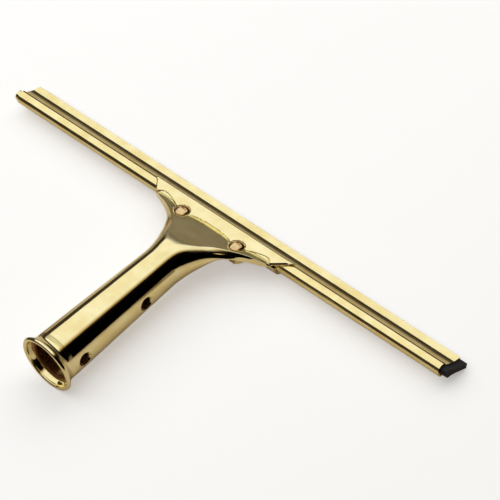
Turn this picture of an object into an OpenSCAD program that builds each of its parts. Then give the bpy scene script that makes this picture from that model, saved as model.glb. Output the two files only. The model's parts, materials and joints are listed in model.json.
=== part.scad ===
// Window cleaning squeegee in polished brass: a tubular handle with a flared head,
// a clamped channel that slides in the head, and a replaceable rubber blade.
// Z is up, X runs along the channel and +Y points from the handle to the blade.
// The tool stands on z = 0 on its mouth rim and its lower lip, as it lies on a table.

/* [Channel] */
// Length of the brass channel
channel_l = 305; // [220:1:460]
// Sheet thickness of the channel
sheet_t = 0.8; // [0.6:0.05:0.9]
// Outer radius of the rolled back that holds the rubber's bead
bulb_r = 3.75; // [3.4:0.05:4.6]
// Depth from the centre of the rolled back to the tips of the lips
lip_y = 12.4; // [11:0.1:16]
// Half height over the flared tips of the lips
lip_h = 3.2; // [2.8:0.05:3.8]
// Half height over the lips at the throat, where they grip the rubber
throat_h = 2.2; // [2:0.05:2.5]

/* [Rubber blade] */
// How far the wiping edge stands out past the lips
rubber_proud = 1.1; // [0.5:0.1:4]
// How far the rubber stands out past the channel's right end
rubber_out = 4; // [0.5:0.5:8]
// Radius of the bead along the rubber's root
bead_r = 2.3; // [2:0.05:2.35]

/* [End clips] */
// Length of each spring clip
clip_l = 11; // [8:0.5:20]
// How far the left clip stands out of the channel
clip_out = 2.5; // [1:0.5:4]

/* [Handle] */
// Distance from the mouth of the handle to the centre of the rolled back
handle_l = 125; // [110:1:180]
// Outer radius of the rolled rim at the mouth
rim_r = 16.5; // [15.6:0.1:20]
// Outer radius of the tube behind the mouth collar
tube_r = 13.6; // [13:0.1:15]
// Outer radius of the tube at the neck
neck_r = 11.2; // [10:0.1:12]
// Wall of the tube
tube_t = 1.3; // [1:0.1:1.6]
// Radius of the bush that centres a pole
socket_r = 11; // [10:0.1:11.3]
// Radius of the two cross holes for a pole's spring button
lock_r = 3.2; // [2:0.1:4]
// Distance from the mouth to the first cross hole
lock_y = 15.5; // [14.5:0.5:20]
// Distance between the two cross holes
lock_pitch = 44.5; // [30:0.5:46]

/* [Head] */
// Width of the upper jaw
head_w = 100; // [80:1:140]
// Width of the lower jaw
lower_w = 84; // [70:1:100]
// Thickness of both jaws
jaw_t = 1.3; // [1:0.1:1.6]
// Angle between the handle's axis and the jaws, in degrees
head_tilt = 11.5; // [8:0.5:14]
// Angle between the jaws and the blade, in degrees
blade_tilt = 13.5; // [8:0.5:15]
// Distance between the two clamp screws
screw_pitch = 39.6; // [30:0.2:50]
// Distance from the centre of the rolled back to the clamp screws
screw_u = 9.8; // [9.6:0.1:11]
// Radius of a screw's shank
screw_r = 2; // [1.5:0.1:2.2]

/* [Hidden] */
$fn = 64;

brass = "#d9b64c";
pale_brass = "#e8cf7a";
rubber_black = "#1b1c1e";

// Clearances: jaws round the channel, screw in its holes, screw in its nut, bush in the tube
jaw_gap = 0.25;
hole_gap = 0.25;
thread_gap = 0.05;
seat_gap = 0.02;

// Channel section, measured from the centre of the rolled back
step_y = 1;
crease_h = bulb_r - 0.7;
throat_y = lip_y - 4.4;
inner_r = bulb_r - sheet_t;
rubber_h = throat_h - sheet_t - 0.02;
rubber_y = lip_y + rubber_proud;
root_h = rubber_h + 0.35;
rubber_setback = 0.5;

// Where the tool stands: both the lip's tip and the mouth rim touch z = 0
blade_angle = head_tilt + blade_tilt;
bulb_z = lip_y * sin(blade_angle) + lip_h * cos(blade_angle);
reach = rubber_y * cos(blade_angle) + rubber_h * sin(blade_angle);
bulb_y = (handle_l - reach) / 2;
mouth_y = bulb_y - handle_l;

// Mouth collar and bush, measured from the mouth along the handle's axis
collar_l = 9;
collar_t = 0.7;
bead_rim = 1.2;
spigot_y = 3.5;
bush_y = 4.5;
bush_l = 6;
groove_d = 0.25;
groove_pitch = 0.8;
neck_y = handle_l - 44;
bore_end = neck_y + 6;
neck_floor = 3;
bore_r = tube_r - collar_t - tube_t;
straight_end = lock_y + lock_r + 2;
seam_turn = 37;

// Head: u is measured from the rolled back towards the handle, w is normal to the jaws
jaw_r = bulb_r + jaw_gap;
plate_w = jaw_r + jaw_t;
loft_end = handle_l - jaw_r - 1.6;
valley_from = neck_y + 2;
valley_to = handle_l - 8;
nose_r = 0.35;
nose_y = step_y + 0.2 + nose_r;
nose_tip = 0.5;
nose_in = 0.198;
nose_z = sqrt(pow(jaw_r - nose_in, 2) - pow(nose_y, 2));
tongue_r = 4.4;
tongue_w = 0.5;
web_gap = 0.5;
web_h = plate_w - tongue_w - web_gap;
loft_in = 0.2;
side_in = 0.4;
top_in = 0.12;
flank_u = 6;
seat_r = 4.7;
seat_d = 0.5;
head_r = 3.9;
dome_h = 1.5;
head_h = 0.7;
slot_w = 0.9;
slot_d = 0.9;
washer_h = 0.9;
washer_r = 3.6;
washer_split = 0.6;
nut_h = 2.2;
nut_flats = 7;
hull_room = 60;

// Half height of the lips' outer face, y from the centre of the rolled back
function lip_half(y) = y < throat_y
    ? throat_h + (crease_h - throat_h) * pow((throat_y - y) / (throat_y - step_y), 2)
    : throat_h + (lip_h - throat_h) * pow((y - throat_y) / (lip_y - throat_y), 3);

// A band between the lips' outer faces, moved in by t, from the back's centre to y_end
module lip_band(t, y_end) {
    steps = 14;
    ys = [for (i = [0:steps]) step_y + (lip_y - step_y) * i / steps];
    edge = concat([[0, crease_h - t]], [for (y = ys) [y, lip_half(y) - t]], [[y_end, lip_h - t]]);
    count = len(edge);
    polygon(concat(edge, [for (i = [0:count - 1]) [edge[count - 1 - i][0], -edge[count - 1 - i][1]]]));
}

// Carries a section drawn in Y and Z along X, from one place to another
module along_x(from, to) {
    translate([from, 0, 0])
        rotate([90, 0, 90])
            linear_extrude(to - from)
                children();
}

// A round bar along X
module rod(r, from, to) {
    translate([from, 0, 0])
        rotate([0, 90, 0])
            cylinder(r = r, h = to - from);
}

// Turns a shape drawn round Z so that it lies along the handle, z from the mouth
module on_handle() {
    translate([0, mouth_y, rim_r])
        rotate([-90, 0, 0])
            children();
}

// The frame of the jaws: origin on the rolled back's axis, +Y to the blade, +Z normal to them
module on_jaws() {
    translate([0, bulb_y, bulb_z])
        rotate([-head_tilt, 0, 0])
            children();
}

// The frame of the channel and the rubber
module on_channel() {
    translate([0, bulb_y, bulb_z])
        rotate([-blade_angle, 0, 0])
            children();
}

// An open ring between two angles; past a quarter turn it thins down to thin_t at its end
module arc_band(r_in, thick, from, to, thin_t) {
    steps = 18;
    angles = [for (i = [0:steps]) from + (to - from) * i / steps];
    reach_in = max(1, 90 - abs(to));
    inner = [for (a = angles) r_in * [cos(a), sin(a)]];
    outer = [for (i = [steps:-1:0])
        let(a = angles[i], past = min(1, max(0, (90 - abs(a)) / reach_in)))
        (r_in + thick - (thick - thin_t) * past) * [cos(a), sin(a)]];
    polygon(concat(inner, outer));
}

// The tip of a jaw that drops into the channel's crease; side is 1 above and -1 below
module nose(side, width) {
    rotate([-blade_tilt, 0, 0])
        translate([0, nose_y, side * nose_z])
            rod(nose_r, -width / 2, width / 2);
}

// Angle of the nose round the rolled back, in the frame of the jaws
function nose_angle(side) = side * atan(nose_z / nose_y) - blade_tilt;

// Rolled sheet brass: a tubular back, a step, a hollow cove and two flared lips
module channel() {
    end = channel_l / 2;
    color(pale_brass)
        on_channel()
            difference() {
                union() {
                    intersection() {
                        rod(bulb_r, -end, end);
                        translate([-end, -bulb_r, -bulb_r])
                            cube([channel_l, bulb_r + step_y, 2 * bulb_r]);
                    }
                    along_x(-end, end)
                        lip_band(0, lip_y);
                }
                intersection() {
                    rod(inner_r, -end - 1, end + 1);
                    translate([-end - 1, -bulb_r, -bulb_r])
                        cube([channel_l + 2, bulb_r + step_y - sheet_t, 2 * bulb_r]);
                }
                along_x(-end - 1, end + 1)
                    lip_band(sheet_t, lip_y + 1);
            }
}

// One extruded strip: a bead in the rolled back, a root and a square wiping edge
module rubber_blade() {
    taper = [[0, root_h + 0.2], [2.2, root_h], [5, rubber_h], [rubber_y, rubber_h]];
    from = rubber_setback - channel_l / 2;
    to = channel_l / 2 + rubber_out;
    color(rubber_black)
        on_channel() {
            rod(bead_r, from, to);
            along_x(from, to)
                polygon(concat(taper, [for (i = [3:-1:0]) [taper[i][0], -taper[i][1]]]));
        }
}

// A C of spring brass between the bead and the rolled back
module end_clip(from, to) {
    color(brass)
        on_channel()
            along_x(from, to)
                arc_band(bead_r + 0.08, inner_r - bead_r - 0.13, 88, 272, inner_r - bead_r - 0.13);
}

module left_end_clip() {
    end_clip(-channel_l / 2 - clip_out, clip_l - clip_out - channel_l / 2);
}

module right_end_clip() {
    end_clip(channel_l / 2 - clip_l - 0.5, channel_l / 2 - 0.5);
}

// Half width of the head, s from the mouth: a gentle shoulder that ends in a quick wing
function head_half(s) =
    let(t = max(0, (s - neck_y) / (handle_l - 3 - neck_y)))
    min(head_w / 2, neck_r + (head_w / 2 - neck_r) * (0.53 * pow(t, 1.6) + 0.87 * pow(t, 8)));

function smooth(t) = let(c = min(1, max(0, t))) c * c * (3 - 2 * c);

// Height of the upper jaw's top face at s from the mouth
function plate_z(s) = bulb_z + (handle_l - s) * tan(head_tilt) + plate_w / cos(head_tilt);

// One cross section of the head: round at the neck, flat on top at the jaw
function head_ring(s, sides) =
    let(flat = smooth((s - valley_from) / (valley_to - valley_from)))
    let(half = min(head_half(s) - loft_in - side_in * flat, head_w / 2 - 4))
    let(top = (rim_r + neck_r - loft_in) * (1 - flat) + (plate_z(s) - top_in) * flat)
    let(bottom = (rim_r - neck_r + loft_in) * (1 - flat) + (plate_z(s) - web_h) * flat)
    let(middle = rim_r * (1 - flat) + (top - jaw_t / 2) * flat)
    let(up = 1 - 0.7 * flat, down = 1 + 1.5 * flat)
    [for (i = [0:sides - 1])
        let(a = 360 * i / sides, h = abs(sin(a)))
        [half * cos(a), mouth_y + s,
            sin(a) >= 0 ? middle + (top - middle) * pow(h, up)
                        : middle - (middle - bottom) * pow(h, down)]];

// The solid flare from the tube's neck to the jaws
module head_flare() {
    sides = 48;
    stations = 16;
    from = neck_y - 0.5;
    rings = [for (j = [0:stations]) head_ring(from + (loft_end - from) * j / stations, sides)];
    points = [for (ring = rings) for (p = ring) p];
    walls = [for (j = [0:stations - 1]) for (i = [0:sides - 1])
        let(a = j * sides + i, b = j * sides + (i + 1) % sides)
        [a, b, b + sides, a + sides]];
    near = [for (i = [0:sides - 1]) sides - 1 - i];
    far = [for (i = [0:sides - 1]) stations * sides + i];
    polyhedron(points, concat(walls, [near, far]), convexity = 6);
}

// The plan of the upper jaw, y towards the blade
module plate_plan() {
    steps = 10;
    corner = 3;
    flank = [for (i = [0:steps]) let(u = screw_u + 3 - (screw_u - flank_u + 3) * i / steps)
        [min(head_w / 2 - corner, head_half(handle_l - u) + (i == 0 ? -1 : 0.15)), -u]];
    edge = concat([[0, -screw_u - 3]], flank,
        [for (a = [-60:30:0]) [head_w / 2 - corner + corner * cos(a), -3 + corner * sin(a)]],
        [[head_w / 2, bulb_r + 2], [0, bulb_r + 2]]);
    polygon(edge);
    mirror([1, 0])
        polygon(edge);
}

// Upper jaw: a flat plate whose front edge curls over the rolled back into its crease
module upper_jaw() {
    intersection() {
        union() {
            along_x(-head_w / 2, head_w / 2)
                translate([-screw_u - 3, jaw_r])
                    square([screw_u + 3, jaw_t]);
            along_x(-head_w / 2, head_w / 2)
                arc_band(jaw_r, jaw_t, 90, nose_angle(1), nose_tip);
            nose(1, head_w);
        }
        translate([0, 0, -bulb_r])
            linear_extrude(4 * bulb_r)
                plate_plan();
    }
}

// Places a child at a clamp screw, in the frame of the jaws; side is -1 left and 1 right
module at_screw(side) {
    on_jaws()
        translate([side * screw_pitch / 2, -screw_u, 0])
            children();
}

// Drawn brass tube with its flared head, one piece with the upper jaw
module handle() {
    color(brass)
        difference() {
            union() {
                on_handle()
                    rotate(seam_turn)
                        rotate_extrude()
                            polygon([[0, spigot_y], [tube_r - collar_t, spigot_y],
                                [tube_r - collar_t, collar_l], [tube_r, collar_l],
                                [neck_r, neck_y], [0, neck_y]]);
                head_flare();
                on_jaws()
                    upper_jaw();
            }
            // The hollow: a straight seat for the bush, then a cone down to a closed neck
            on_handle()
                rotate(seam_turn)
                    rotate_extrude()
                        polygon([[0, spigot_y - 1], [bore_r, spigot_y - 1], [bore_r, straight_end],
                            [neck_r - tube_t - 0.5, neck_y], [neck_floor, bore_end], [0, bore_end]]);
            for (y = [lock_y, lock_y + lock_pitch])
                translate([-rim_r, mouth_y + y, rim_r])
                    rotate([0, 90, 0])
                        cylinder(r = lock_r, h = 2 * rim_r);
            for (side = [-1, 1])
                at_screw(side) {
                    translate([0, 0, -hull_room])
                        cylinder(r = screw_r + hole_gap, h = 2 * hull_room);
                    translate([0, 0, plate_w - seat_d])
                        cylinder(r = head_r + hole_gap, h = hull_room);
                    translate([0, 0, plate_w - 0.1])
                        cylinder(r = seat_r, h = hull_room);
                }
        }
}

// Bell mouth with a rolled rim, pushed over the tube's end up to its shoulder
module mouth_collar() {
    bell_in = tube_r - collar_t;
    flare = 6;
    color(brass)
        on_handle()
            difference() {
                rotate_extrude() {
                    difference() {
                        polygon(concat(
                            [for (i = [0:flare]) let(t = i / flare)
                                [rim_r - 0.4 - (rim_r - 0.4 - tube_r) * (1 - pow(1 - t, 2)),
                                    bead_rim + (collar_l - 2.6 - bead_rim) * t]],
                            [[tube_r, collar_l], [bell_in + seat_gap, collar_l],
                                [bell_in + seat_gap, spigot_y - 0.1], [bell_in - 0.3, spigot_y - 0.1],
                                [rim_r - 2 * bead_rim + 0.3, bead_rim]]));
                        for (i = [1:3])
                            translate([tube_r, collar_l - i * groove_pitch + 0.2])
                                rotate(45)
                                    square(groove_d * sqrt(2), center = true);
                    }
                    translate([rim_r - bead_rim, bead_rim])
                        circle(bead_rim);
                }
            }
}

// Ring just inside the mouth, pressed in, that centres the pole
module socket_bush() {
    color(pale_brass)
        on_handle()
            translate([0, 0, bush_y])
                difference() {
                    cylinder(r = bore_r, h = bush_l);
                    translate([0, 0, -1])
                        cylinder(r = socket_r, h = bush_l + 2);
                }
}

// Pressed plate that cups the rolled back from below and carries the nuts
module lower_jaw() {
    half = lower_w / 2;
    color(brass)
        on_jaws()
            difference() {
                union() {
                    along_x(-half, half)
                        arc_band(jaw_r, jaw_t, -180, nose_angle(-1), nose_tip);
                    nose(-1, lower_w);
                    translate([-half, -jaw_r - jaw_t, tongue_w - jaw_t])
                        cube([lower_w, jaw_t, jaw_t]);
                    translate([-screw_pitch / 2, -screw_u, tongue_w - jaw_t])
                        cube([screw_pitch, screw_u - jaw_r, jaw_t]);
                    for (side = [-1, 1])
                        translate([side * screw_pitch / 2, -screw_u, tongue_w - jaw_t]) {
                            cylinder(r = tongue_r, h = jaw_t);
                            translate([-tongue_r, 0, 0])
                                cube([2 * tongue_r, screw_u - jaw_r, jaw_t]);
                        }
                }
                for (side = [-1, 1])
                    translate([side * screw_pitch / 2, -screw_u, -hull_room])
                        cylinder(r = screw_r + hole_gap, h = 2 * hull_room);
            }
}

// Domed slotted head in its seat, and a plain shank through both jaws into the nut
module clamp_screw(side) {
    nut_base = tongue_w - jaw_t - washer_h - nut_h;
    dome_r = (head_r * head_r + dome_h * dome_h) / (2 * dome_h);
    color(pale_brass)
        at_screw(side) {
            difference() {
                union() {
                    translate([0, 0, plate_w - seat_d])
                        cylinder(r = head_r, h = head_h);
                    intersection() {
                        translate([0, 0, plate_w - seat_d + head_h + dome_h - dome_r])
                            sphere(dome_r);
                        translate([0, 0, plate_w - seat_d + head_h])
                            cylinder(r = head_r, h = dome_h);
                    }
                    translate([0, 0, nut_base])
                        cylinder(r = screw_r, h = plate_w - seat_d - nut_base);
                }
                translate([-head_r - 1, -slot_w / 2, plate_w - seat_d + head_h + dome_h - slot_d])
                    cube([2 * head_r + 2, slot_w, slot_d + 1]);
            }
        }
}

module left_clamp_screw() {
    clamp_screw(-1);
}

module right_clamp_screw() {
    clamp_screw(1);
}

// Split spring washer between the lower jaw and the nut
module lock_washer(side) {
    color(pale_brass)
        at_screw(side)
            translate([0, 0, tongue_w - jaw_t - washer_h])
                difference() {
                    cylinder(r = washer_r, h = washer_h);
                    translate([0, 0, -1])
                        cylinder(r = screw_r + hole_gap, h = washer_h + 2);
                    translate([0, -washer_split / 2, -1])
                        cube([washer_r + 1, washer_split, washer_h + 2]);
                }
}

module left_lock_washer() {
    lock_washer(-1);
}

module right_lock_washer() {
    lock_washer(1);
}

// Hexagon nut under the lock washer
module clamp_nut(side) {
    color(brass)
        at_screw(side)
            translate([0, 0, tongue_w - jaw_t - washer_h - nut_h])
                difference() {
                    cylinder(r = nut_flats / 2 / cos(30), h = nut_h, $fn = 6);
                    translate([0, 0, -1])
                        cylinder(r = screw_r + thread_gap, h = nut_h + 2);
                }
}

module left_clamp_nut() {
    clamp_nut(-1);
}

module right_clamp_nut() {
    clamp_nut(1);
}

handle();
mouth_collar();
socket_bush();
lower_jaw();
left_clamp_screw();
right_clamp_screw();
left_lock_washer();
right_lock_washer();
left_clamp_nut();
right_clamp_nut();
channel();
rubber_blade();
left_end_clip();
right_end_clip();
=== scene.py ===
import json
import math

import bmesh
import bpy
from mathutils import Matrix, Vector


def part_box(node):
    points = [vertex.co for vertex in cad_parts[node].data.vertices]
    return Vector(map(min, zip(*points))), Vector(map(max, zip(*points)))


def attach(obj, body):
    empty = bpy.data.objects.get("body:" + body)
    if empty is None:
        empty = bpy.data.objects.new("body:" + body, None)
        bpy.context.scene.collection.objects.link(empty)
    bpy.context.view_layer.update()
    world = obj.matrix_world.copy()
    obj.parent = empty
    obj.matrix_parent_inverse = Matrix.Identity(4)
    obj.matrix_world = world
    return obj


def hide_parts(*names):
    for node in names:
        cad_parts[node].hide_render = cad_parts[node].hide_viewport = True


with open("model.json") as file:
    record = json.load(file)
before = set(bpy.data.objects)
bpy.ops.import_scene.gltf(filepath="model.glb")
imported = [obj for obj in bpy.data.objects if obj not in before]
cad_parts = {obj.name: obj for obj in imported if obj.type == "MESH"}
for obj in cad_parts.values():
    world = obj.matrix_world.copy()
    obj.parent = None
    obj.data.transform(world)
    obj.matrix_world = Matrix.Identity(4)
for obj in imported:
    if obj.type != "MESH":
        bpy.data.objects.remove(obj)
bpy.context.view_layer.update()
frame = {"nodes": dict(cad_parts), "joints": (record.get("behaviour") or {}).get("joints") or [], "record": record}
mounts = {m["name"]: m for m in frame["record"]["mounts"]}
joints = {j["name"]: j for j in frame["joints"]}


# --- Camera ----------------------------------------------------------------------------
# A long lens over the right side of the handle's mouth, turned a little clockwise, so
# that the tool lies across the whole view with the blade running down to the right.
view_turn, view_lift = math.radians(52.81), math.radians(47.85)
view_from = Vector((math.sin(view_turn) * math.cos(view_lift),
                    -math.cos(view_turn) * math.cos(view_lift), math.sin(view_lift)))
view_at = Vector((0.0241, 0.0519, 0.0110))
view_far = 1.7568
view_roll = math.radians(-11.3)
camera = bpy.data.objects.new("camera", bpy.data.cameras.new("camera"))
bpy.context.scene.collection.objects.link(camera)
camera.matrix_world = (Matrix.Translation(view_at + view_far * view_from)
                       @ view_from.to_track_quat("Z", "Y").to_matrix().to_4x4()
                       @ Matrix.Rotation(view_roll, 4, "Z"))
camera.data.sensor_width = 36
camera.data.lens = 249.3
camera.data.clip_start = 0.05
bpy.context.scene.camera = camera


# --- Handle: tapered tube, flared head and upper jaw -----------------------------------
# One brass forging. The tube is round and tapers to a neck, then spreads into a flat jaw
# with a scalloped rear edge and a scooped hollow behind it. The jaw's front edge curls
# down over the channel's rolled back. Two cross holes take a pole's spring button.
MM = 0.001
axis_z = mounts["pole_socket"]["pos_m"][2] / MM
mouth_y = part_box("mouth_collar")[0].y / MM
jaw_up = -Vector(joints["lower_jaw_open"]["axis"])
blade_out = Vector(mounts["wiping_edge"]["axis"])
head_tilt = math.atan2(jaw_up.y, jaw_up.z)
blade_reach = 13.5
back = Vector(mounts["wiping_edge"]["pos_m"]) / MM - blade_reach * blade_out
back.x = 0
handle_l = back.y - mouth_y
screw_x = joints["right_screw_turn"]["pos_m"][0] / MM
screw_u = 9.8
screw_seat_r, screw_ring_r = 4.25, 4.9
neck_s = handle_l - 44
tube_r, neck_r, spigot_r = 13.6, 11.2, 12.9
collar_l, spigot_s = 9.0, 3.6
bore_r, straight_s, bore_neck_r, bore_end = 11.6, 20.7, 9.4, neck_s + 6
jaw_in, jaw_t, jaw_tip = 4.0, 1.3, 0.5
jaw_w = jaw_in + jaw_t
half_w = 50.0
bay_u, arc_x, arc_u = 7.5, 36.5, 4.9
seat_deep, seat_ease = 1.1, 0.2


def smooth(low, high, value):
    t = min(1, max(0, (value - low) / (high - low)))
    return t * t * (3 - 2 * t)


def soft_min(a, b, width):
    h = max(width - abs(a - b), 0) / width
    return min(a, b) - h * h * width / 4


def back_u(s):
    # Distance from the rolled back, along the jaw, of the point above s
    return (handle_l - s) / math.cos(head_tilt) + jaw_w * math.sin(head_tilt)


def wing_half(u):
    # The slanted ends of the jaw, widest at its front edge
    return half_w - 0.95 * min(11, max(0, u + 1))


def head_half(s):
    # Half the head's width: a gentle shoulder that ends in a quick wing
    t = max(0, (s - neck_s) / 41)
    shoulder = neck_r + (half_w - neck_r) * (0.53 * t ** 1.6 + 0.87 * t ** 8)
    return soft_min(shoulder, wing_half(back_u(s)), 2.0)


def jaw_plane(s):
    # Height of the jaw's flat upper face
    return back.z + (handle_l - s) * math.tan(head_tilt) + jaw_w / math.cos(head_tilt)


def jaw_bay(across):
    # Where the flat jaw ends towards the handle: a shallow bay between the screws, then an arc
    if across < screw_x:
        return min(bay_u + 1.5 * (across / 13.5) ** 4, screw_u)
    if across < arc_x:
        return min(arc_u + 4.1 * ((arc_x - across) / 12) ** 1.5, screw_u)
    return arc_u + 2.5 * ((across - arc_x) / 4) ** 2


def jaw_edge(across):
    # The bay, pushed back in a ring round each screw
    reach = abs(across - screw_x)
    ring = screw_u + math.sqrt(screw_ring_r ** 2 - reach ** 2) if reach < screw_ring_r else 0
    return max(jaw_bay(across), ring)


def head_low(x, s):
    # The underside: round at the neck, a hollow web under the jaw in front
    web = jaw_t + 2.9 * smooth(44, 36, abs(x)) * smooth(handle_l - 5.6, handle_l - 6.4, s)
    flat = jaw_plane(s) - web / math.cos(head_tilt)
    blend = smooth(neck_s, handle_l - 12, s)
    return (axis_z - neck_r) * (1 - blend) + flat * blend


def crown_and_scoop(x, s):
    # Heights of the tube's rounded back and of the scoop that is cut into it
    u = back_u(s)
    across, half = abs(x), head_half(s)
    spread = smooth(neck_s, neck_s + 20, s)
    crown = axis_z + neck_r * math.sqrt(1 - 0.72 * spread * min(1, across / half) ** 2)
    foot_u = 7.6 - 3.6 * smooth(16, 30, across)
    scoop_w = 4.2 - 0.7 * smooth(16, 32, across) + 8.8 * (max(0, u - foot_u) / (37 - foot_u)) ** 1.05
    scoop_w += 0.5 * smooth(2.6, 1.0, half - across) * smooth(10, 14, u)
    return crown, jaw_plane(s) + (scoop_w - jaw_w) / math.cos(head_tilt)


def head_high(x, s):
    # The upper side: the tube's back, the scoop, and the flat jaw in front
    u, across = back_u(s), abs(x)
    body = soft_min(*crown_and_scoop(x, s), 2.6)
    edge = jaw_edge(across)
    on_jaw = smooth(edge + 0.5, edge, u)
    high = body * (1 - on_jaw) + jaw_plane(s) * on_jaw
    from_screw = math.hypot(across - screw_x, u - screw_u)
    high -= seat_deep * smooth(screw_seat_r + 0.05 + seat_ease, screw_seat_r + 0.05 - seat_ease, from_screw)
    return max(high, head_low(x, s) + 0.8)


def head_point(turn, s):
    # A point of the head's section: flat in the middle, rounded off within the flanks
    half = head_half(s)
    x = half * math.cos(turn)
    high, low = head_high(x, s), head_low(x, s)
    spread = smooth(neck_s, neck_s + 24, s)
    flank = half * (1 - spread) + 6.5 * spread
    for low_s, high_s, edge_r in ((handle_l - 22, handle_l - 11, 3.4), (handle_l - 11, handle_l - 5, 1.0)):
        wing = smooth(low_s, high_s, s)
        flank = flank * (1 - wing) + edge_r * wing
    waist = 0.45 - 0.33 * smooth(handle_l - 22, handle_l - 12, s)
    middle = axis_z * (1 - spread) + (low + waist * (high - low)) * spread
    power = 2 - 0.75 * smooth(handle_l - 30, handle_l - 18, s)
    drop = max(0, 1 - max(0, (abs(x) - half + flank) / flank) ** power) ** (1 / power)
    return x, s, middle + ((high if math.sin(turn) >= 0 else low) - middle) * drop


def ring_point(turn, step):
    # One point of the ring of points that a step along the handle makes
    kind, value = step
    c, q = math.cos(turn), math.sin(turn)
    if kind == "tube":
        radius, s = value
        return Vector((radius * c, mouth_y + s, axis_z + radius * q))
    if kind == "head":
        x, s, z = head_point(turn, value)
        return Vector((x, mouth_y + s, z))
    # The curl: rings that swing round the rolled back, the value is the angle from upright
    past = value - head_tilt
    outer, inner = (jaw_w / math.cos(past), jaw_in / math.cos(past)) if past < 0 else (
        jaw_w - (jaw_t - jaw_tip) * smooth(0, math.radians(37), past), jaw_in)
    middle = (outer + inner) / 2
    wall = 1 if abs(q) > 0.3 else (abs(q) / 0.3) ** 0.5
    radius = middle + math.copysign((outer - inner) / 2 * wall, q)
    x = (wing_half(-radius * math.sin(past)) - 0.3 * smooth(0, math.radians(45), value)) * c
    return Vector((x, back.y + radius * math.sin(value), back.z + radius * math.cos(value)))


steps = [("tube", place) for place in (
    (0.6, bore_end), (6.2, neck_s + 3), (bore_neck_r, neck_s), (bore_r, straight_s),
    (bore_r, spigot_s + 0.15), (bore_r + 0.15, spigot_s), (spigot_r, spigot_s),
    (spigot_r, collar_l), (tube_r - 0.15, collar_l))]
taper_s = collar_l + 0.15
steps += [("tube", (tube_r + (neck_r - tube_r) * t / 12, taper_s + (neck_s - taper_s) * t / 12))
          for t in range(13)]
s = neck_s
while s < handle_l - 0.3:
    s += 1.0 if s < handle_l - 20 else 0.27
    steps.append(("head", min(s, handle_l)))
steps += [("curl", math.radians(a)) for a in (0, 4, 8, 11.5, 15, 19, 23, 27, 31, 35, 39, 43, 46, 48, 49)]
sides_up, sides_down = 480, 220

bm = bmesh.new()
turn_of = bm.verts.layers.float.new("turn")
made = bmesh.ops.create_circle(bm, segments=sides_up + sides_down, radius=1)
for i, v in enumerate(made["verts"]):
    v[turn_of] = math.pi * (i / sides_up if i < sides_up else 1 + (i - sides_up) / sides_down)
    v.co = ring_point(v[turn_of], steps[0])
rim = list(bm.edges)
bmesh.ops.contextual_create(bm, geom=rim)
for step in steps[1:]:
    grown = bmesh.ops.extrude_edge_only(bm, edges=rim)["geom"]
    rim = [e for e in grown if isinstance(e, bmesh.types.BMEdge)]
    for v in grown:
        if isinstance(v, bmesh.types.BMVert):
            v.co = ring_point(v[turn_of], step)
bmesh.ops.contextual_create(bm, geom=rim)
bmesh.ops.recalc_face_normals(bm, faces=bm.faces)
bmesh.ops.scale(bm, vec=(MM, MM, MM), verts=bm.verts)


def finish_piece(name, bm, sharp=40):
    # Turns a bmesh that is already in its place into an object, smooth but for edges
    # that bend by more than sharp degrees
    mesh = bpy.data.meshes.new(name)
    bm.to_mesh(mesh)
    bm.free()
    mesh.shade_smooth()
    mesh.set_sharp_from_angle(angle=math.radians(sharp))
    piece = bpy.data.objects.new(name, mesh)
    bpy.context.scene.collection.objects.link(piece)
    return piece


handle = finish_piece("brass_handle", bm)

# The cross holes, drilled through both walls and eased a little at the surface
bm = bmesh.new()
for hole in (mounts["near_button_hole"], mounts["far_button_hole"]):
    hole_s = hole["pos_m"][1] / MM - mouth_y
    wall_x = tube_r + (neck_r - tube_r) * (hole_s - collar_l) / (neck_s - collar_l)
    hole_r = hole["dims"]["r_mm"]
    line = [bm.verts.new((x * MM, hole["pos_m"][1], hole["pos_m"][2] + r * MM)) for x, r in (
        (-18, 0), (-18, hole_r + 19 - wall_x), (1 - wall_x, hole_r), (wall_x - 1, hole_r),
        (18, hole_r + 19 - wall_x), (18, 0))]
    edges = [bm.edges.new(pair) for pair in zip(line, line[1:])]
    bmesh.ops.spin(bm, geom=line + edges, cent=(0, hole["pos_m"][1], hole["pos_m"][2]), axis=(1, 0, 0),
                   angle=2 * math.pi, steps=72, use_merge=True, use_duplicate=False)
bmesh.ops.remove_doubles(bm, verts=bm.verts, dist=1e-7)
bmesh.ops.recalc_face_normals(bm, faces=bm.faces)
drill = finish_piece("drill", bm)
cut = handle.modifiers.new("cross_holes", "BOOLEAN")
cut.operation = "DIFFERENCE"
cut.solver = "EXACT"
cut.object = drill
drilled = bpy.data.meshes.new_from_object(handle.evaluated_get(bpy.context.evaluated_depsgraph_get()))
handle.modifiers.clear()
handle.data = drilled
drilled.shade_smooth()
drilled.set_sharp_from_angle(angle=math.radians(40))
bpy.data.objects.remove(drill)


def linear(hex_colour):
    # sRGB hex to the linear colour that the shader works in
    parts = [int(hex_colour[i:i + 2], 16) / 255 for i in (1, 3, 5)]
    return [p / 12.92 if p <= 0.04045 else ((p + 0.055) / 1.055) ** 2.4 for p in parts] + [1]


def add_node(tree, kind, settings=None, **links):
    # settings go to inputs or, failing that, to the node; links name the inputs they feed
    made = tree.nodes.new(kind)
    for name, value in (settings or {}).items():
        if name in made.inputs:
            made.inputs[name].default_value = value
        else:
            setattr(made, name, value)
    for name, source in links.items():
        tree.links.new(source, made.inputs[name.replace("_", " ")])
    return made


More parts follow.
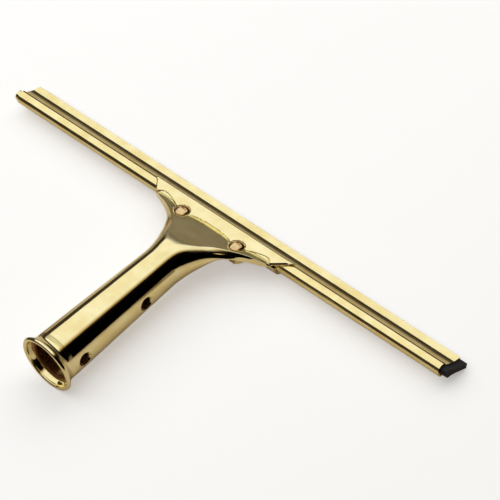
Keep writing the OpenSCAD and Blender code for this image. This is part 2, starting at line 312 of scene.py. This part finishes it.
def brass_finish(name, pale, deep, rough_low, rough_high, grain, ripple, hollow_rough=None):
    # Brass polished on a wheel. It mirrors the room, in a colour that drifts a little over
    # a centimetre; the wheel leaves hairlines along the work and a faint ripple of 7 mm.
    finish = bpy.data.materials.new(name)
    finish.use_nodes = True
    tree = finish.node_tree
    shader = tree.nodes["Principled BSDF"]
    shader.inputs["Metallic"].default_value = 1
    place = add_node(tree, "ShaderNodeTexCoord").outputs["Object"]
    drift = add_node(tree, "ShaderNodeTexNoise", {"Scale": 1 / (11 * MM), "Detail": 3.0}, Vector=place)
    colour = add_node(tree, "ShaderNodeValToRGB", None, Fac=drift.outputs["Fac"])
    colour.color_ramp.elements[0].position, colour.color_ramp.elements[1].position = 0.35, 0.65
    colour.color_ramp.elements[0].color, colour.color_ramp.elements[1].color = linear(deep), linear(pale)
    tree.links.new(colour.outputs["Color"], shader.inputs["Base Color"])
    along = add_node(tree, "ShaderNodeMapping", {"Scale": grain}, Vector=place)
    hairs = add_node(tree, "ShaderNodeTexNoise", {"Scale": 1 / (0.5 * MM), "Detail": 4.0},
                     Vector=along.outputs["Vector"])
    dull = add_node(tree, "ShaderNodeMapRange", {"From Min": 0.3, "From Max": 0.7, "To Min": rough_low,
                                                 "To Max": rough_high}, Value=hairs.outputs["Fac"])
    if hollow_rough is None:
        tree.links.new(dull.outputs["Result"], shader.inputs["Roughness"])
    else:
        # The wheel can't reach right into a hollow, which stays satin
        missed = add_node(tree, "ShaderNodeAttribute", {"attribute_name": "hollow"})
        satin = add_node(tree, "ShaderNodeMapRange", {"To Max": hollow_rough}, Value=missed.outputs["Fac"])
        tree.links.new(dull.outputs["Result"], satin.inputs["To Min"])
        tree.links.new(satin.outputs["Result"], shader.inputs["Roughness"])
    waves = add_node(tree, "ShaderNodeTexNoise", {"Scale": 1 / (7 * MM), "Detail": 1.0}, Vector=place)
    wavy = add_node(tree, "ShaderNodeBump", {"Strength": 1.0, "Distance": ripple * MM},
                    Height=waves.outputs["Fac"])
    lined = add_node(tree, "ShaderNodeBump", {"Strength": 1.0, "Distance": 0.004 * MM},
                     Height=hairs.outputs["Fac"], Normal=wavy.outputs["Normal"])
    tree.links.new(lined.outputs["Normal"], shader.inputs["Normal"])
    return finish


# Yellow brass, wheel-polished along the tube
polished_brass = brass_finish("polished_brass", "#f9eebb", "#f0dfa2", 0.05, 0.13, (1, 0.04, 1), 0.02, 0.27)
hollow = handle.data.attributes.new("hollow", "FLOAT", "POINT")
for v, mark in zip(handle.data.vertices, hollow.data):
    x, s, z = v.co.x / MM, v.co.y / MM - mouth_y, v.co.z / MM
    if neck_s < s < handle_l - 4 and z > head_low(x, s) + 0.55 * (head_high(x, s) - head_low(x, s)):
        crown, scoop = crown_and_scoop(x, s)
        edge = jaw_edge(abs(x))
        mark.value = (smooth(edge + 0.3, edge + 1.2, back_u(s)) * smooth(1.2, -0.8, scoop - crown)
                      * smooth(2.0, 4.5, head_half(s) - abs(x)))
# The inside of the bore is dull, and its dark brown colour is painted shade of the deep bore
bore_shade_brass = brass_finish("bore_brass_painted_shade", "#b58a58", "#8a6340", 0.4, 0.6, (1, 1, 1), 0.05)
handle.data.materials.clear()
handle.data.materials.append(polished_brass)
handle.data.materials.append(bore_shade_brass)
# Faces inside the bore take the dark brown brass whose colour is painted shade
for face in handle.data.polygons:
    s = face.center.y / MM - mouth_y
    if spigot_s < s < bore_end + 0.1:
        skin = tube_r + (neck_r - tube_r) * min(1, (s - collar_l) / (neck_s - collar_l))
        skin -= 0.9 if s < collar_l else 0.3
        if math.hypot(face.center.x, face.center.z - axis_z * MM) < skin * MM:
            face.material_index = 1
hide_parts("handle")
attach(handle, "handle_unit")


# --- Mouth collar ----------------------------------------------------------------------
# A thin brass bell pushed over the tube's end, with its rim rolled into a bead so that it
# is safe to hold, and three fine lines turned into it where it meets the tube.
bead_r, bead_at, collar_t, flare_end = 1.2, 15.3, 0.67, 6.4
line = [(tube_r, collar_l - 0.08), (tube_r - 0.08, collar_l), (tube_r - collar_t + 0.1, collar_l),
        (tube_r - collar_t, collar_l - 0.1), (tube_r - collar_t, 3.6), (tube_r - collar_t + 0.1, 3.3),
        (13.25, 2.8), (13.75, 2.1), (14.0, 1.6)]
line += [(bead_at + bead_r * math.cos(a), bead_r + bead_r * math.sin(a))
         for a in (math.radians(180 + 260 * i / 26) for i in range(27))]
line += [(tube_r + 2.2 * (1 - t / 10) ** 2, bead_r + 1.35 + (flare_end - bead_r - 1.35) * t / 10)
         for t in range(2, 11)]
for groove_s in (6.8, 7.6, 8.4):
    line += [(tube_r, groove_s - 0.24), (tube_r - 0.22, groove_s), (tube_r, groove_s + 0.24)]
bm = bmesh.new()
points = [bm.verts.new((r * MM, (mouth_y + s) * MM, axis_z * MM)) for r, s in line]
edges = [bm.edges.new((points[i - 1], points[i])) for i in range(len(points))]
bmesh.ops.spin(bm, geom=points + edges, cent=(0, mouth_y * MM, axis_z * MM), axis=(0, 1, 0),
               angle=2 * math.pi, steps=256, use_merge=True, use_duplicate=False)
bmesh.ops.recalc_face_normals(bm, faces=bm.faces)
collar = finish_piece("rolled_mouth_collar", bm, 35)
collar.data.materials.append(polished_brass)
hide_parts("mouth_collar")
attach(collar, "handle_unit")


# --- Socket bush -----------------------------------------------------------------------
# A plain turned ring pressed inside the tube that centres a pole's ferrule. It is brass
# left as turned, so it is duller and redder than the outside.
def paint(name, finish):
    # Gives a design node its one finish
    materials = frame["nodes"][name].data.materials
    materials.clear()
    materials.append(finish)


paint("socket_bush", brass_finish("turned_brass", "#cfa56a", "#a97c48", 0.22, 0.38, (1, 1, 0.1), 0.01))


# --- Channel ---------------------------------------------------------------------------
# Sheet brass rolled into one long strip: a tubular back that holds the rubber's bead, a
# crease that the jaws bite into, and two hollow coves that close on the rubber and flare
# out to the lips. Bright drawn sheet, a little paler than the handle.
half_l = 152.5
bulb_r, sheet_t = 3.75, 0.8


def blade_point(x, y, z):
    # From the channel's own section to the object: y towards the wiping edge, z normal to it
    up = Vector((0, -blade_out.z, blade_out.y))
    return (back + Vector((x, 0, 0)) + y * blade_out + z * up) * MM


outer = [(bulb_r * math.cos(a), bulb_r * math.sin(a)) for a in
         (math.radians(180 - 81 * i / 24) for i in range(25))]
outer += [(-0.2, 3.737), (0.25, 3.75), (0.55, 3.71), (0.8, 3.58), (0.97, 3.35), (1.06, 3.0), (1.22, 2.74)]
outer += [(1.5 + 0.6 * i, 2.22 + 0.42 * (1 - i / 9) ** 2) for i in range(11)]
outer += [(7.8, 2.27), (8.05, 2.31), (9.5, 2.6), (11.0, 2.92), (12.2, 3.17), (12.4, 3.2)]
inner = [(12.4, 2.42), (11.0, 2.13), (9.5, 1.81), (8.2, 1.52), (7.4, 1.43), (6.3, 1.42),
         (4.5, 1.48), (2.5, 1.68), (0.9, 1.95), (0.3, 2.9)]
inner += [((bulb_r - sheet_t) * math.cos(a), (bulb_r - sheet_t) * math.sin(a)) for a in
          (math.radians(86 + 94 * i / 20) for i in range(21))]
section = outer + inner[:-1]
section += [(y, -z) for y, z in reversed(inner)] + [(y, -z) for y, z in reversed(outer[1:])]
bm = bmesh.new()
points = [bm.verts.new(blade_point(-half_l, y, z)) for y, z in section]
edges = [bm.edges.new((points[i - 1], points[i])) for i in range(len(points))]
grown = bmesh.ops.extrude_edge_only(bm, edges=edges)["geom"]
far_end = [v for v in grown if isinstance(v, bmesh.types.BMVert)]
bmesh.ops.translate(bm, vec=(2 * half_l * MM, 0, 0), verts=far_end)
bmesh.ops.holes_fill(bm, edges=[e for e in bm.edges if e.is_boundary], sides=0)
bmesh.ops.recalc_face_normals(bm, faces=bm.faces)
channel = finish_piece("rolled_channel", bm, 50)
# Bright sheet brass, with its hairlines along the strip
drawn_brass = brass_finish("bright_drawn_brass", "#f8ebb2", "#eedb98", 0.06, 0.15, (0.04, 1, 1), 0.03)
channel.data.materials.append(drawn_brass)
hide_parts("channel")
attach(channel, "channel_unit")


# --- Rubber blade ----------------------------------------------------------------------
# One extruded strip of black natural rubber, slid into the channel so that it stands out
# past the lips and past one end. Its cut faces are matt, with a fine grain of filler.
# Black natural rubber, cut matt
rubber = bpy.data.materials.new("black_natural_rubber")
rubber.use_nodes = True
tree = rubber.node_tree
shader = tree.nodes["Principled BSDF"]
place = add_node(tree, "ShaderNodeTexCoord").outputs["Object"]
filler = add_node(tree, "ShaderNodeTexNoise", {"Scale": 1 / (0.6 * MM), "Detail": 6.0}, Vector=place)
tone = add_node(tree, "ShaderNodeValToRGB", None, Fac=filler.outputs["Fac"])
tone.color_ramp.elements[0].position, tone.color_ramp.elements[1].position = 0.35, 0.7
tone.color_ramp.elements[0].color, tone.color_ramp.elements[1].color = linear("#151516"), linear("#242426")
tree.links.new(tone.outputs["Color"], shader.inputs["Base Color"])
dull = add_node(tree, "ShaderNodeMapRange", {"To Min": 0.5, "To Max": 0.75}, Value=filler.outputs["Fac"])
tree.links.new(dull.outputs["Result"], shader.inputs["Roughness"])
grain = add_node(tree, "ShaderNodeBump", {"Strength": 0.6, "Distance": 0.03 * MM}, Height=filler.outputs["Fac"])
tree.links.new(grain.outputs["Normal"], shader.inputs["Normal"])
shader.inputs["Specular IOR Level"].default_value = 0.35
paint("rubber_blade", rubber)


# --- End clips -------------------------------------------------------------------------
# Springs of hard brass strip, cut from the same bright stock as the channel. They stop
# its rolled back at both ends, hard against the rubber.
paint("left_end_clip", drawn_brass)
paint("right_end_clip", drawn_brass)


# --- Lower jaw -------------------------------------------------------------------------
# A plate pressed from brass sheet, polished like the handle. It cups the channel's rolled
# back from below and is drawn up against it by the two screws.
paint("lower_jaw", polished_brass)


# --- Clamp screws ----------------------------------------------------------------------
# Cast in a redder brass, with a slot across a low domed head. They are rumbled with
# stones in a drum, so they are smooth but not as bright as the wheel-polished handle.
screw_brass = brass_finish("rumbled_red_brass", "#f0deae", "#d4b484", 0.1, 0.2, (1, 1, 1), 0.02)
paint("left_clamp_screw", screw_brass)
paint("right_clamp_screw", screw_brass)


# --- Lock washers ----------------------------------------------------------------------
# Split rings of spring steel between the plate and the nuts. They are zinc plated, and
# the plating is a dull grey beside the brass.
zinc_steel = brass_finish("zinc_plated_steel", "#c9c8c4", "#aeada8", 0.2, 0.34, (1, 1, 1), 0.01)
paint("left_lock_washer", zinc_steel)
paint("right_lock_washer", zinc_steel)


# --- Clamp nuts ------------------------------------------------------------------------
# Two hexagon nuts cut from brass bar, below the washers, and polished like the jaw. A
# spanner holds them while a screwdriver turns the screws from above.
paint("left_clamp_nut", polished_brass)
paint("right_clamp_nut", polished_brass)


# --- Table and studio light ------------------------------------------------------------
# A pale table top and a wide soft panel overhead that stops short on the right and in
# front; the dim room beyond it is what polished brass shows as its dark bands. The brass
# mirrors a second, darker table top, as a bright one lit evenly would wash the bands out.
# That second top's colour is painted light and shade, bright under the object and dark further off.
def table_top(name, height, glow, colours):
    # colours run from under the object to half a metre away, then to the dark left side: a painted falloff of
    # light and a painted dark corner of shade
    mesh = bpy.data.meshes.new(name)
    bm = bmesh.new()
    bmesh.ops.create_grid(bm, x_segments=1, y_segments=1, size=6,
                          matrix=Matrix.Translation((0, 0, height)))
    bm.to_mesh(mesh)
    bm.free()
    top = bpy.data.objects.new(name, mesh)
    bpy.context.scene.collection.objects.link(top)
    paper = bpy.data.materials.new(name + "_paper_and_painted_falloff")
    paper.use_nodes = True
    tree = paper.node_tree
    shader = tree.nodes["Principled BSDF"]
    place = add_node(tree, "ShaderNodeTexCoord").outputs["Object"]
    reach = add_node(tree, "ShaderNodeVectorMath", {"operation": "LENGTH"}, Vector=place).outputs["Value"]
    apart = add_node(tree, "ShaderNodeSeparateXYZ", None, Vector=place)
    painted_falloff = add_node(tree, "ShaderNodeMapRange", {"From Min": 0.06, "From Max": 0.6}, Value=reach)
    left = add_node(tree, "ShaderNodeMapRange", {"From Min": -0.035, "From Max": -0.12,
                                                 "interpolation_type": "SMOOTHSTEP"}, Value=apart.outputs["X"])
    front = add_node(tree, "ShaderNodeMapRange", {"From Min": 0.02, "From Max": -0.03,
                                                  "interpolation_type": "SMOOTHSTEP"}, Value=apart.outputs["Y"])
    painted_dark_corner = add_node(tree, "ShaderNodeMath", {"operation": "MULTIPLY"})
    tree.links.new(left.outputs["Result"], painted_dark_corner.inputs[0])
    tree.links.new(front.outputs["Result"], painted_dark_corner.inputs[1])
    mixed = painted_falloff.outputs["Result"]
    tone = linear(colours[0])
    for colour, amount in ((colours[1], mixed), (colours[2], painted_dark_corner.outputs["Value"])):
        blend = add_node(tree, "ShaderNodeMix", {"data_type": "RGBA"})
        blend.inputs[7].default_value = linear(colour)
        tree.links.new(amount, blend.inputs[0])
        if isinstance(tone, list):
            blend.inputs[6].default_value = tone
        else:
            tree.links.new(tone, blend.inputs[6])
        tone = blend.outputs[2]
    tree.links.new(tone, shader.inputs["Base Color"])
    shader.inputs["Roughness"].default_value = 0.95
    shader.inputs["Specular IOR Level"].default_value = 0.1
    shader.inputs["Emission Color"].default_value = (1, 1, 1, 1)
    shader.inputs["Emission Strength"].default_value = glow
    mesh.materials.append(paper)
    top.visible_shadow = False
    return top


# White paper, near enough matt
seen_top = table_top("table_top", 0, 0.42, ("#f7f7f6", "#f7f7f6", "#f7f7f6"))
seen_top.visible_glossy = False
seen_top.visible_diffuse = False
# Seen only in reflections, this top carries painted light: warm and bright under the object, fading with distance,
# with painted shade in the dark left front corner
table_top("mirrored_table_top", -0.0004, 0, ("#fff2e0", "#cfbda6", "#4a3d2b")).visible_camera = False

# The panel, and the strips that it fades out in to the right
panel_h = 1.5
for name, left, right, strength, colour in (
        ("soft_panel", -2.0, 0.34, 1.0, "#ffffff"), ("panel_turn", 0.34, 0.43, 0.84, "#fff3dc"),
        ("panel_fold", 0.43, 0.51, 0.62, "#ffe8c0"), ("panel_edge", 0.51, 0.575, 0.35, "#ffdba4"),
        ("panel_hem", 0.575, 0.63, 0.13, "#ffcf90")):
    light = bpy.data.lights.new(name, "AREA")
    light.shape = "RECTANGLE"
    light.size, light.size_y = (right - left) * panel_h, 2.9 * panel_h
    light.energy = math.pi * light.size * light.size_y * strength
    light.color = linear(colour)[:3]
    panel = bpy.data.objects.new(name, light)
    panel.location = ((left + right) / 2 * panel_h, 0.45 * panel_h, panel_h)
    panel.visible_camera = False
    bpy.context.scene.collection.objects.link(panel)

# The room is dark on the right, with a glow low down behind on the left
world = bpy.data.worlds.new("dim_room")
world.use_nodes = True
bpy.context.scene.world = world
tree = world.node_tree
room = tree.nodes["Background"]
towards = add_node(tree, "ShaderNodeSeparateXYZ", None,
                   Vector=add_node(tree, "ShaderNodeTexCoord").outputs["Generated"])
side = add_node(tree, "ShaderNodeMapRange", {"From Min": 0.1, "From Max": -0.5, "To Min": 0.004, "To Max": 1.0},
                Value=towards.outputs["X"])
low = add_node(tree, "ShaderNodeMapRange", {"From Min": 0.0, "From Max": 0.11, "To Min": 0.5, "To Max": 0.0,
                                               "interpolation_type": "SMOOTHSTEP"}, Value=towards.outputs["Z"])
behind = add_node(tree, "ShaderNodeMapRange", {"From Min": 0.45, "From Max": 0.75}, Value=towards.outputs["Y"])
glow = add_node(tree, "ShaderNodeMath", {"operation": "MULTIPLY_ADD"})
glow.inputs[2].default_value = 0.045
dim = add_node(tree, "ShaderNodeMath", {"operation": "MULTIPLY"})
for source, end in ((low.outputs["Result"], glow.inputs[0]), (behind.outputs["Result"], glow.inputs[1]),
                    (side.outputs["Result"], dim.inputs[0]), (glow.outputs["Value"], dim.inputs[1]),
                    (dim.outputs["Value"], room.inputs["Strength"])):
    tree.links.new(source, end)
room.inputs["Color"].default_value = (1.0, 0.87, 0.72, 1)
plain = add_node(tree, "ShaderNodeBackground", {"Color": linear("#f7f7f6")})
choose = add_node(tree, "ShaderNodeMixShader", None,
                  Fac=add_node(tree, "ShaderNodeLightPath").outputs["Is Camera Ray"])
tree.links.new(room.outputs["Background"], choose.inputs[1])
tree.links.new(plain.outputs["Background"], choose.inputs[2])
tree.links.new(choose.outputs["Shader"], tree.nodes["World Output"].inputs["Surface"])
bpy.context.scene.view_settings.view_transform = "Standard"
